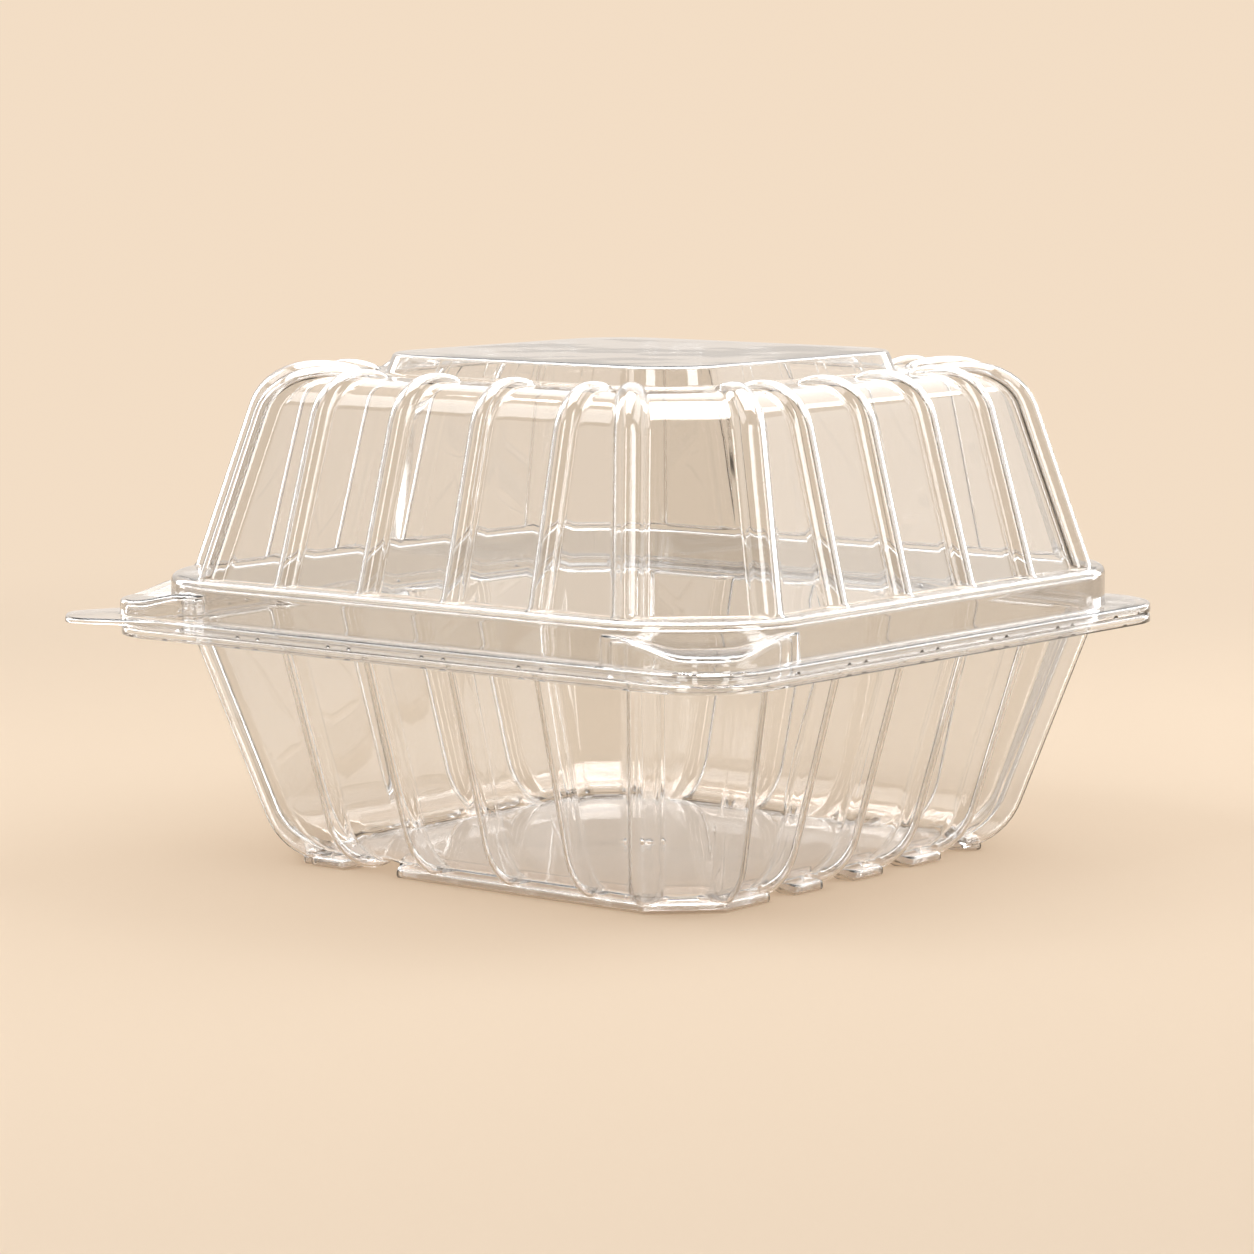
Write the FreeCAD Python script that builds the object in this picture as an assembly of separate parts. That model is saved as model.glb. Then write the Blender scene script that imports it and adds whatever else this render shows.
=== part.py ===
"""Clear hinged clamshell pack: a ribbed tub, a ribbed domed lid and the folded web that joins them at the back.

Millimetres, +Z up, origin at the bottom centre. The front, where the pack opens, faces -Y and the web lies at +Y.
Both halves are one thin formed sheet, so each is an outer solid less the same solid moved in by the sheet.
"""
import FreeCAD, Part
import math
import os

# Sheet
sheet = 0.4
nest_gap = 0.4          # between faces of lid and tub that nest
rest_gap = 0.3          # between the lid's lip and the tub's flange

# Heights
foot_height = 1.5       # underside of the tub's floor above the table
lip_height = 1.2        # drop of the tub's rim below its flange
flange_top = 45.3       # top of the tub's flange
lid_lip_height = 1.3    # drop of the lid's rim below its flange
band_height = 7.6       # upright band of the lid above its flange
dome_height = 37.1      # flat ring of the lid above the ledge
plateau_height = 3.9    # raised middle of the lid above the ring
block_drop = 3.6        # top of a snap block below the ledge
bead_top_gap = 0.9      # top of the tub's bead below the underside of the ledge

# Plan sizes. A half is from the centre of a square to its side
flange_half = 74.0
flange_corner = 15.0
flange_shelf = 2.8      # flange outside the band
band_corner = 28.0
band_edge = 2.0         # rounding where the band turns into the ledge
ledge_width = 4.5       # from the face of the band to the foot of the lid's wall
bead_width = 1.6
tub_shelf = 3.2         # flange inside the bead
block_corner = 9.0
block_stand = 0.8       # face of a snap block in front of the face of the band
block_length = 23.2     # how far a snap block reaches from the corner of the band
plateau_inset = 28.1    # foot of the raised middle inside the foot of the lid's wall
plateau_corner = 14.5
plateau_draft = 1.6
plateau_edge = 1.0

# Ribbed walls, which lean in away from the flanges
lid_lean = 15.5         # degrees
lid_curl = 9.0          # radius of the shoulder
lid_chamfer = 17.5      # how much the corner panel takes off each side at the ledge
tub_lean = 21.0
tub_curl = 6.5          # radius of the bottom edge
tub_chamfer = 14.0
vertex_share = 0.75     # how far the vertex comes in as its wall does
rib_pitch = 20.0
pitch_share = 0.1       # how much the ribs draw together as their wall comes in
rib_width = 2.5         # half width
rib_rise = 2.2
corner_rib_width = 3.6
corner_rib_rise = 1.9
rib_places = (-1.5, -0.5, 0.5, 1.5)

# Feet, pads of sheet under the bottom edge, each span measured from the left end of the row of feet
foot_inset = 14.8       # outer face of a foot inside the top of the wall
foot_depth = 5.0
foot_top = 5.0
foot_margin = 8.6       # end of the row of feet from the outer face of the feet round the corner
foot_front = ((4.2, 12.2), (23.2, 76.2))
foot_others = ((1.2, 15.2), (22.2, 31.2), (40.2, 50.2), (59.2, 69.2))
foot_corner_half = 7.0  # half width of the foot at a corner
centre_foot_radius = 3.6    # round dimple in the middle of the floor

# Pull tab at one front corner of the lid
tab_reach = 10.5
tab_root = 15.0
tab_tip = 6.5
tab_round = 5.0

# Hinge web
web_inset = 8.0         # end of the web from the side of the flange
web_reach = 4.4         # how far the fold stands out from the flange

# Worked out from the sizes above
band_half = flange_half - flange_shelf
block_start = band_half - block_length
lid_half = band_half - ledge_width      # wall at the ledge
lid_vertex = lid_half - lid_chamfer     # half length of a side at the ledge, where the corner panel begins
plateau_half = lid_half - plateau_inset
bead_half = band_half - sheet - nest_gap
bead_inner = bead_half - bead_width
tub_half = bead_inner - tub_shelf       # wall at the underside of the flange
tub_vertex = tub_half - tub_chamfer
foot_face = tub_half - foot_inset
foot_end = foot_face - foot_margin
web_half = flange_half - web_inset
lid_flange_top = flange_top + rest_gap + lid_lip_height + sheet
ledge_top = lid_flange_top + band_height
ring_top = ledge_top + dome_height
quarter = 90.0
eighth = math.radians(45.0)
half_eighth = eighth / 2.0


def turned(x, y, z, side):
    """A point of the front side, turned to another side."""
    angle = math.radians(quarter * side)
    return FreeCAD.Vector(x * math.cos(angle) - y * math.sin(angle), x * math.sin(angle) + y * math.cos(angle), z)


def rounded_wire(half, corner, z):
    """A square with round corners."""
    edges = []
    flat = half - corner
    for side in range(4):
        edges.append(Part.makeLine(turned(-flat, -half, z, side), turned(flat, -half, z, side)))
        middle = flat + corner * math.cos(eighth)
        arc = Part.Arc(turned(flat, -half, z, side), turned(middle, -middle, z, side), turned(half, -flat, z, side))
        edges.append(arc.toShape())
    return Part.Wire(edges)


def prism(half, corner, low, high):
    """A square block with round corners."""
    return Part.Face(rounded_wire(half, corner, low)).extrude(FreeCAD.Vector(0, 0, high - low))


def frustum(lower, upper):
    """A block between two rounded squares, each given as half, corner and height."""
    return Part.makeLoft([rounded_wire(*lower), rounded_wire(*upper)], True, True)


def rounded_top(solid, z, radius):
    """The solid with the outer edges at height z made round."""
    edges = [e for e in solid.Edges if abs(e.BoundBox.ZMin - z) < 1e-6 and abs(e.BoundBox.ZMax - z) < 1e-6]
    return solid.makeFillet(radius, edges)


def box(x, y, z):
    """A box from three pairs of limits."""
    return Part.makeBox(x[1] - x[0], y[1] - y[0], z[1] - z[0], FreeCAD.Vector(x[0], y[0], z[0]))


class Ring:
    """One level of a ribbed wall: an octagon with a half round rib on each vertex and four on each side.

    tilt is the angle of the wall's outward normal above level, and ribs scales the ribs' width and rise.
    """

    def __init__(self, half, vertex, pitch, z, tilt, ribs, ribbed=True):
        self.half, self.vertex, self.pitch, self.z = half, vertex, pitch, z
        self.tilt, self.ribs, self.ribbed = tilt, ribs, ribbed

    def inward(self, thickness):
        """The same level on the other face of the sheet."""
        step = thickness * math.cos(self.tilt)
        ring = Ring(self.half - step, self.vertex - step * math.tan(half_eighth), self.pitch,
                    self.z - thickness * math.sin(self.tilt), self.tilt, self.ribs, self.ribbed)
        ring.narrow = thickness
        return ring

    narrow = 0.0

    def rib(self, x, side, width, rise, start, end, out):
        """One rib: its start, crest and end points."""
        half_width = max(width * self.ribs - self.narrow, width * 0.1)
        lift = rise * self.ribs
        crest = (x + out[0] * lift * math.cos(self.tilt), -self.half + out[1] * lift * math.cos(self.tilt))
        return ("rib",
                turned(x + start[0] * half_width, -self.half + start[1] * half_width, self.z, side),
                turned(crest[0], crest[1], self.z + lift * math.sin(self.tilt), side),
                turned(x + end[0] * half_width, -self.half + end[1] * half_width, self.z, side))

    def spans(self):
        """Ribs and the panels between them, in order round the ring."""
        slant = math.cos(eighth)
        lean_x, lean_y = math.sin(half_eighth), -math.cos(half_eighth)
        ribs = []
        for side in range(4):
            ribs.append(self.rib(-self.vertex, side, corner_rib_width, corner_rib_rise,
                                 (-slant, slant), (1, 0), (-lean_x, lean_y)))
            for place in rib_places:
                ribs.append(self.rib(place * self.pitch, side, rib_width, rib_rise, (-1, 0), (1, 0), (0, -1)))
            ribs.append(self.rib(self.vertex, side, corner_rib_width, corner_rib_rise,
                                 (-1, 0), (slant, slant), (lean_x, lean_y)))
        spans = []
        for rib, following in zip(ribs, ribs[1:] + ribs[:1]):
            spans.append(rib)
            spans.append(("panel", rib[3], None, following[1]))
        return spans


def flat_face(*points):
    return Part.Face(Part.makePolygon(list(points) + [points[0]]))


def rib_arc(span):
    return Part.Arc(span[1], span[2], span[3]).toShape()


def cap(ring, along_ribs):
    """The flat face that closes a wall at one ring, with or without the half rounds of its ribs."""
    edges = []
    for span in ring.spans():
        round_span = span[0] == "rib" and along_ribs
        edges.append(rib_arc(span) if round_span else Part.makeLine(span[1], span[3]))
    return Part.Face(Part.Wire(edges))


def rib_end(span):
    """The flat face that closes one rib."""
    return Part.Face(Part.Wire([rib_arc(span), Part.makeLine(span[3], span[1])]))


def wall_solid(rings):
    """The closed solid inside a ribbed wall, given level by level. Its first ring is level, ribs and all."""
    faces = [cap(rings[0], True), cap(rings[-1], False)]
    for lower, upper in zip(rings, rings[1:]):
        for below, above in zip(lower.spans(), upper.spans()):
            if below[0] == "rib" and lower.ribbed and upper.ribbed:
                faces.append(Part.makeRuledSurface(rib_arc(below), rib_arc(above)))
            else:
                faces.append(flat_face(below[1], below[3], above[3], above[1]))
    last_ribbed = [ring for ring in rings if ring.ribbed][-1]
    faces += [rib_end(span) for span in last_ribbed.spans() if span[0] == "rib"]
    shell = Part.makeCompound(faces)
    shell.sewShape()
    solid = Part.Solid(shell.Shells[0])
    if solid.Volume < 0:
        solid.reverse()
    return solid


def wall_level(foot_half, foot_vertex, half, z, tilt, ribs, ribbed=True):
    """A ring at a given half size, with its vertex and ribs drawn in as the wall comes in."""
    drawn = foot_half - half
    return Ring(half, foot_vertex - vertex_share * drawn, rib_pitch - pitch_share * drawn, z,
                math.radians(tilt), ribs, ribbed)


def lid_rings(foot_z, thickness):
    """The lid's wall from its foot over the shoulder to where the ribs end on the flat ring."""
    lean = math.radians(lid_lean)
    centre_z = ring_top - lid_curl
    straight_top = centre_z + lid_curl * math.sin(lean)
    straight_half = lid_half - (straight_top - ledge_top) * math.tan(lean)
    centre_half = straight_half - lid_curl * math.cos(lean)
    foot = wall_level(lid_half, lid_vertex, lid_half - (foot_z - ledge_top) * math.tan(lean), foot_z, 0.0, 1.0)
    if thickness:
        step = thickness / math.cos(lean)
        foot = foot.inward(step)
        foot.narrow = thickness
    rings = [foot]
    steps = 4
    for i in range(steps + 1):
        tilt = lid_lean + (quarter - lid_lean) * i / steps
        angle = math.radians(tilt)
        ring = wall_level(lid_half, lid_vertex, centre_half + lid_curl * math.cos(angle),
                          centre_z + lid_curl * math.sin(angle), tilt, 1.0 - 0.15 * i / steps)
        rings.append(ring.inward(thickness))
    for inset, ribs in ((2.6, 0.72), (4.6, 0.4)):
        half = centre_half - inset + thickness
        rings.append(wall_level(lid_half, lid_vertex, half, ring_top, quarter, ribs).inward(thickness))
    return rings


def tub_rings(top_z, thickness):
    """The tub's wall from its top down round the bottom edge, where the ribs fade out, to the floor."""
    lean = math.radians(tub_lean)
    wall_top = flange_top - sheet
    centre_z = foot_height + tub_curl
    straight_low = centre_z - tub_curl * math.sin(lean)
    straight_half = tub_half - (wall_top - straight_low) * math.tan(lean)
    centre_half = straight_half - tub_curl * math.cos(lean)
    top = wall_level(tub_half, tub_vertex, tub_half + (top_z - wall_top) * math.tan(lean), top_z, 0.0, 1.0)
    if thickness:
        top = top.inward(thickness / math.cos(lean))
        top.narrow = thickness
    rings = [top]
    rib_end_tilt = 64.0 - math.degrees(thickness / tub_curl)
    for tilt, ribs, ribbed in ((tub_lean, 1.0, True), (38.0, 0.85, True), (52.0, 0.6, True),
                               (rib_end_tilt, 0.3, True), (77.0, 0.3, False), (quarter, 0.3, False)):
        angle = math.radians(tilt)
        ring = wall_level(tub_half, tub_vertex, centre_half + tub_curl * math.cos(angle),
                          centre_z - tub_curl * math.sin(angle), -tilt, ribs, ribbed)
        rings.append(ring.inward(thickness))
    return rings


def corner_region(side, start, low, high):
    """The square region at a front corner beyond start, both ways. side is -1 for the left corner, 1 for the right."""
    far = flange_half + tab_reach
    x = (start, far) if side > 0 else (-far, -start)
    return box(x, (-far, -start), (low, high))


def make_lid():
    """Dome, ledge, upright band, flange with a turned down rim, two snap blocks and a pull tab."""
    flange_low = lid_flange_top - sheet
    ledge_low = ledge_top - sheet
    outer = [rounded_top(prism(band_half, band_corner, flange_low, ledge_top), ledge_top, band_edge),
             wall_solid(lid_rings(ledge_top - sheet / 2, 0.0)),
             frustum((plateau_half, plateau_corner, ring_top - sheet / 2),
                     (plateau_half - plateau_draft, plateau_corner, ring_top + plateau_height - plateau_edge)),
             frustum((plateau_half - plateau_draft, plateau_corner, ring_top + plateau_height - plateau_edge),
                     (plateau_half - plateau_draft - plateau_edge, plateau_corner, ring_top + plateau_height)),
             prism(flange_half, flange_corner, flange_low, lid_flange_top),
             prism(flange_half, flange_corner, flange_low - lid_lip_height, flange_low),
             pull_tab(flange_low)]
    inner = [rounded_top(prism(band_half - sheet, band_corner - sheet, flange_low - lid_lip_height, ledge_low),
                         ledge_low, band_edge - sheet),
             wall_solid(lid_rings(ledge_low - sheet, sheet)),
             frustum((plateau_half - sheet, plateau_corner, ring_top - 2 * sheet),
                     (plateau_half - plateau_draft - sheet, plateau_corner,
                      ring_top + plateau_height - plateau_edge - sheet)),
             frustum((plateau_half - plateau_draft - sheet, plateau_corner,
                      ring_top + plateau_height - plateau_edge - sheet),
                     (plateau_half - plateau_draft - plateau_edge - sheet, plateau_corner,
                      ring_top + plateau_height - sheet)),
             prism(flange_half - sheet, flange_corner - sheet, flange_low - lid_lip_height, flange_low)]
    for side in (-1, 1):
        outer.append(snap_block(side, 0.0, flange_low, ledge_top - block_drop))
        inner.append(snap_block(side, sheet, flange_low - lid_lip_height, ledge_top - block_drop - sheet))
    return shell_of(outer, inner)


def snap_block(side, inset, low, high):
    """A corner block that squares off the round corner of the band, moved in by inset on every face."""
    half = band_half + block_stand - inset
    return prism(half, block_corner - inset, low, high).common(
        corner_region(side, block_start + inset, low, high))


def pull_tab(low):
    """A flat tab that stands out of the front left corner of the flange."""
    corner = (flange_half - flange_corner) * math.sqrt(2.0) + flange_corner
    root = corner - flange_corner
    reach = corner + tab_reach
    outline = Part.makePolygon([FreeCAD.Vector(*p, low) for p in (
        (root, -tab_root), (reach, -tab_tip), (reach, tab_tip), (root, tab_root), (root, -tab_root))])
    tab = Part.Face(outline).extrude(FreeCAD.Vector(0, 0, sheet))
    tip = [e for e in tab.Edges if e.BoundBox.ZLength > sheet / 2 and e.BoundBox.XMin > reach - sheet]
    tab = tab.makeFillet(tab_round, tip)
    tab.rotate(FreeCAD.Vector(0, 0, 0), FreeCAD.Vector(0, 0, 1), quarter + quarter + math.degrees(eighth))
    return tab


def shell_of(outer, inner):
    """The outer solids joined, less the inner ones."""
    body = outer[0].fuse(outer[1:])
    for hollow in inner:
        body = body.cut(hollow)
    return body.Solids[0]


def make_tub():
    """Ribbed wall, floor with feet, flange with a turned down rim, and the bead that the lid's band drops over."""
    flange_low = flange_top - sheet
    bead_corner = band_corner - sheet - nest_gap
    bead_top = ledge_top - sheet - bead_top_gap
    bead = rounded_top(prism(bead_half, bead_corner, flange_low, bead_top), bead_top, band_edge - sheet - nest_gap)
    outer = [bead,
             wall_solid(tub_rings(flange_low + sheet / 2, 0.0)),
             prism(flange_half, flange_corner, flange_low, flange_top)]
    rim = prism(flange_half, flange_corner, flange_low - lip_height, flange_low).cut(
        prism(flange_half - sheet, flange_corner - sheet, flange_low - lip_height, flange_low))
    inner = [wall_solid(tub_rings(flange_top + sheet, sheet)),
             prism(bead_inner, bead_corner - bead_width, flange_top, bead_top)]
    core = prism(bead_inner + sheet, bead_corner - bead_width + sheet, flange_low - sheet, bead_top)
    channel = rounded_top(prism(bead_half - sheet, bead_corner - sheet, flange_low - sheet, bead_top - sheet),
                          bead_top - sheet, band_edge - 2 * sheet - nest_gap)
    inner.append(channel.cut(core))
    block_top = ledge_top - block_drop - sheet - nest_gap
    for side in (-1, 1):
        outer.append(snap_block(side, sheet + nest_gap, flange_low, block_top))
        inner.append(snap_block(side, 2 * sheet + nest_gap, flange_low - sheet, block_top - sheet).cut(core))
    for low, high, side in foot_spans():
        outer.append(foot(low, high, side, 0.0))
        inner.append(foot(low, high, side, sheet))
    for side in range(4):
        outer.append(corner_foot(side, 0.0))
        inner.append(corner_foot(side, sheet))
    outer.append(centre_foot(0.0))
    inner.append(centre_foot(sheet))
    return shell_of(outer, inner).fuse(rim).Solids[0]


def foot_spans():
    """Each foot's two ends and its side: the front has a long one, and the other three sides have four."""
    spans = [(low - foot_end, high - foot_end, 0) for low, high in foot_front]
    for side in (1, 2, 3):
        spans += [(low - foot_end, high - foot_end, side) for low, high in foot_others]
    return spans


def foot(low, high, side, inset):
    """One foot under the bottom edge of a side, moved in by inset on every face."""
    pad = box((low + inset, high - inset), (-foot_face + inset, -foot_face + foot_depth - inset),
              (inset, foot_top - inset))
    pad.rotate(FreeCAD.Vector(0, 0, 0), FreeCAD.Vector(0, 0, 1), quarter * side)
    return pad


def corner_foot(side, inset):
    """One foot under the bottom edge of a corner panel."""
    lean = math.radians(tub_lean)
    drawn = (flange_top - sheet - foot_top) * math.tan(lean)
    face = (tub_half - drawn + tub_vertex - vertex_share * drawn) * math.cos(eighth) - sheet
    pad = box((-foot_corner_half + inset, foot_corner_half - inset), (-face + inset, -face + foot_depth - inset),
              (inset, foot_top - inset))
    pad.rotate(FreeCAD.Vector(0, 0, 0), FreeCAD.Vector(0, 0, 1), quarter * side + math.degrees(eighth))
    return pad


def centre_foot(inset):
    """The round dimple in the middle of the floor, whose flat end rests on the table."""
    return Part.makeCylinder(centre_foot_radius - inset, foot_height + sheet / 2, FreeCAD.Vector(0, 0, inset))


def make_web():
    """The hinge web, folded flat: a leg from the lid's rim, a turn, and a leg back to the tub's flange."""
    low_mid = flange_top - sheet / 2
    high_mid = low_mid + rest_gap + sheet + rest_gap
    turn = (high_mid - low_mid) / 2
    turn_y = flange_half + web_reach - sheet / 2 - turn
    legs = []
    flange = prism(flange_half, flange_corner, low_mid - sheet, high_mid + sheet)
    for middle in (low_mid, high_mid):
        leg = box((-web_half, web_half), (flange_half - flange_corner, turn_y),
                  (middle - sheet / 2, middle + sheet / 2))
        legs.append(leg.cut(flange))
    centre = FreeCAD.Vector(-web_half, turn_y, (low_mid + high_mid) / 2)
    along = FreeCAD.Vector(1, 0, 0)
    bend = Part.makeCylinder(turn + sheet / 2, 2 * web_half, centre, along)
    bend = bend.cut(Part.makeCylinder(turn - sheet / 2, 2 * web_half, centre, along))
    bend = bend.common(box((-web_half, web_half), (turn_y, turn_y + 2 * turn), (low_mid - sheet, high_mid + sheet)))
    return bend.fuse(legs).Solids[0]


os.makedirs("parts", exist_ok=True)
for name, shape in (("base_tub", make_tub()), ("lid", make_lid()), ("living_hinge", make_web())):
    shape.exportStep(f"parts/{name}.step")
    bounds = shape.BoundBox
    print(name, "valid", shape.isValid(), "solids", len(shape.Solids), "volume", round(shape.Volume),
          "x", round(bounds.XMin, 2), round(bounds.XMax, 2), "y", round(bounds.YMin, 2), round(bounds.YMax, 2),
          "z", round(bounds.ZMin, 2), round(bounds.ZMax, 2))
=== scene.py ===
"""Clear hinged clamshell pack, dressed for its photograph.

The lid, the tub and the folded web are each one thin clear formed sheet. Sizes are in millimetres
until a piece is finished, and in metres after that. +Z is up, the front faces -Y and the web lies at +Y.
"""
import bmesh
import bpy
import math
from collections import namedtuple
from mathutils import Matrix, Vector


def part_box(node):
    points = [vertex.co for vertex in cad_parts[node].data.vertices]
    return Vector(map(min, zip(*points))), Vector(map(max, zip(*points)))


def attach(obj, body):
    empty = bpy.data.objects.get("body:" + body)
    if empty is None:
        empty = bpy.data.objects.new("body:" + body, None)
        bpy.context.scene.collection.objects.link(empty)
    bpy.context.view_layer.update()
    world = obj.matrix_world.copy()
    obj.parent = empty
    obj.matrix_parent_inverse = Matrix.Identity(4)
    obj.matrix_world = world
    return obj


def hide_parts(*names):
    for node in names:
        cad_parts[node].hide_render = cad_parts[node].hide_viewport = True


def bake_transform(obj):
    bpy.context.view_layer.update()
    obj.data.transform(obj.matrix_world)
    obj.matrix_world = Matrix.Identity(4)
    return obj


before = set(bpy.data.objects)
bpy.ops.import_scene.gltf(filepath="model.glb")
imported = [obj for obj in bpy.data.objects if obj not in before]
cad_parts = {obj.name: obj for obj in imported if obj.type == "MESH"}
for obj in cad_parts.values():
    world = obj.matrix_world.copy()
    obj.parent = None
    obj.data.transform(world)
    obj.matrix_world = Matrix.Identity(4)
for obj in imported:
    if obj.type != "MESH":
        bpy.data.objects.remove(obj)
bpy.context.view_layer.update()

millimetre = 0.001
_, tub_high = (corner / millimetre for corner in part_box("base_tub"))
lid_low, lid_high = (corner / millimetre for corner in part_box("lid"))
web_low, web_high = (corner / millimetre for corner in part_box("living_hinge"))

quarter = math.radians(90.0)
eighth = math.radians(45.0)
half_eighth = math.radians(22.5)
slant = math.cos(eighth)

# Sheet
sheet = 0.4
nest_gap = 0.4
face_step = sheet + nest_gap + sheet    # outside of the lid's band to inside of the tub's bead

# Heights
foot_height = 1.5
lid_lip = 1.3
band_height = 7.6
plateau_height = 3.9
tub_flange_low = web_low.z
lid_flange_top = lid_low.z + lid_lip + sheet
ledge_top = lid_flange_top + band_height
ring_top = lid_high.z - plateau_height
bead_gap = 0.9                          # top of the bead below the underside of the ledge
face_drop = 1.6                         # start of the band's upright face below the ledge
tab_depth = 0.95                        # turned down rim along the pull tab
tub_lip = 1.2                           # turned down rim of the tub

# Plan sizes, each from the centre to the side of a square
flange_half = tub_high.x
flange_corner = 15.0
band_half = flange_half - 2.8
band_corner = 28.0
band_edge = 1.4
lid_half = band_half - 4.5
bead_width = 0.8                        # hollow inside the bead
tub_half = band_half - face_step - bead_width - 3.6
plateau_half = lid_half - 28.1
plateau_corner = 14.5
plateau_draft = 1.6
plateau_margin = 8.0                    # flat drawn inside the edge of the raised top
ring_margin = 1.6                       # and flat drawn round its foot

# Rounded edges
plateau_edge = 1.0
plateau_foot = 0.9
wall_foot = 0.6                         # where a ribbed wall meets the ledge or the flange
flat_margin = 3.0                       # flat drawn past it
rim_fillet = 0.5
fillet_shares = (0.33, 0.67, 1.0)
bead_edge = 0.39
bead_margin = 0.8                       # ribs end this far inside the bead
bead_depth = 0.8                        # from the top of the bead to its upright face
lip_edge = 0.4
flange_edge = ((0.6, 0.0), (0.3, 0.08), (0.08, 0.3), (0.0, 0.6))    # inset and drop
band_margin = 0.2                       # ribs end this far inside the band's rounded edge
flat_end = 0.1

# Ribbed walls
lid_lean = 15.5
lid_curl = 9.0
lid_chamfer = 17.5
tub_lean = 17.0
tub_curl = 12.5
tub_chamfer = 14.0
vertex_share = 0.75
rib_pitch = 20.0
pitch_share = 0.1
rib_places = (-1.5, -0.5, 0.5, 1.5)
plain_rib = (2.3, 2.2)                  # half width and rise
corner_rib = (3.3, 2.4)
rib_tip = 6.4                           # how far a rib runs on over the top of the lid
tip_shares = (1.0, 0.97, 0.9, 0.78, 0.6, 0.4, 0.2)
tip_width = 0.3                         # of the rib's full width, at its very end
shoulder_size = 0.85                    # of the rib's full size, on the shoulder
shoulder_steps = 8
lid_wall_shares = (0.25, 0.5, 0.75, 0.96)
tub_wall_shares = (0.0, 0.2, 0.4, 0.6, 0.8, 0.93, 0.985)
under_width = 0.8                       # of the rib's full width, at its end under the tub
under_curl = ((90.0, 0.0), (88.0, 0.0), (86.0, 0.1), (84.0, 0.25), (82.0, 0.38), (80.0, 0.48),
              (78.0, 0.57), (76.0, 0.64), (73.0, 0.72), (70.0, 0.79), (67.0, 0.84), (64.0, 0.88))
outer_curl = ((60.0, 0.92), (55.0, 0.95), (49.0, 0.98), (43.0, 1.0), (36.0, 1.0), (29.0, 1.0), (22.0, 1.0))
fillet_share = 0.22
fillet_steps = 2
crest_steps = 10
even_shares = (0.14, 0.28, 0.43, 0.57, 0.72, 0.86)
close_shares = (0.16, 0.33, 0.5, 0.66, 0.78, 0.82, 0.86, 0.9, 0.94)
reversed_shares = tuple(1.0 - share for share in reversed(close_shares))
corner_steps = 24

# Snap blocks at the two front corners
block_start = band_half - 23.8
block_corner = 9.0
block_steps = (0.6, 0.6)
block_step_length = 3.8
block_ramp = 0.8
shelf_drop = 2.5                        # shelf of the block below the ledge at its ends
shelf_fall = 2.1                        # and how much lower it lies at the corner
shelf_fillet, fillet_limit = 0.4, 0.25  # a radius, and its limit as a share of the step
shelf_edge, edge_limit = 0.8, 0.4
shelf_blend = 0.3                       # step at which the shelf has its full form

# Feet
foot_face = tub_half - 14.6
foot_depth = 5.0
foot_edge = 0.8
front_feet = ((-38.0, -30.0), (-19.0, 44.0))
other_feet = ((-41.0, -27.0), (-20.0, -11.0), (-2.0, 8.0), (17.0, 27.0))
corner_foot = 7.0
foot_top = 1.9
dimple = 3.2

# Pull tab
tab_reach = 10.5
tab_root = 15.0
tab_tip = 6.5
tab_round = 40.0                        # power of the smooth corner: higher is sharper
tab_neck = 120.0
tab_fade = 4.0                          # length over which the rim's lip changes to the tab's

# Hinge web
web_half = flange_half - 8.0
web_round = 5.0
web_columns = 48
web_arc = 8
web_leg = (0.0, 0.5, 0.9)               # places along a leg, as shares of it
web_overlap = 0.1
web_least = 0.12                        # reach of the web at its very ends, as a share

Wall = namedtuple("Wall", "half vertex")
Level = namedtuple("Level", "half vertex pitch z tilt width rise spread")
Face = namedtuple("Face", "half corner block_corner block_start top foot drop")
lid_wall = Wall(lid_half, lid_half - lid_chamfer)
tub_wall = Wall(tub_half, tub_half - tub_chamfer)


def ramp(value):
    """0 below 0, 1 above 1 and smooth between."""
    value = min(max(value, 0.0), 1.0)
    return value * value * (3.0 - 2.0 * value)


def mix(a, b, share):
    return a + (b - a) * share


def half_round():
    """Across and up of a rib's section, as shares of its half width and rise, with filleted feet."""
    foot = math.sqrt(1.0 + 2.0 * fillet_share)
    touch = math.asin(foot / (1.0 + fillet_share))
    left = []
    for i in range(fillet_steps):
        angle = touch * i / fillet_steps
        left.append((-foot + fillet_share * math.sin(angle), fillet_share * (1.0 - math.cos(angle))))
    crest = []
    for i in range(crest_steps + 1):
        angle = touch * (2.0 * i / crest_steps - 1.0)
        crest.append((math.sin(angle), math.cos(angle)))
    return left + crest + [(-across, up) for across, up in reversed(left)]


rib_section = half_round()


def wall_level(wall, half, z, tilt, width=1.0, rise=1.0, spread=0.0):
    """A level of a ribbed wall. Its vertices and ribs draw in as the wall does."""
    drawn = wall.half - half
    return Level(half, wall.vertex - vertex_share * drawn, rib_pitch - pitch_share * drawn, z,
                 math.radians(tilt), width, rise, spread)


def rib(level, place, before, after, out, size):
    """The points across one rib."""
    width = size[0] * level.width + level.spread
    rise = size[1] * level.rise
    lift = Vector((0.0, 0.0, rise * math.sin(level.tilt)))
    points = []
    for across, up in rib_section:
        along = after * across if across > 0.0 else before * -across
        foot = Vector((place, -level.half, level.z)) + along * width
        points.append(foot + (out * rise * math.cos(level.tilt) + lift) * up)
    return points


def between(start, end, steps):
    return [start.lerp(end, i / steps) for i in range(1, steps)]


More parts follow.
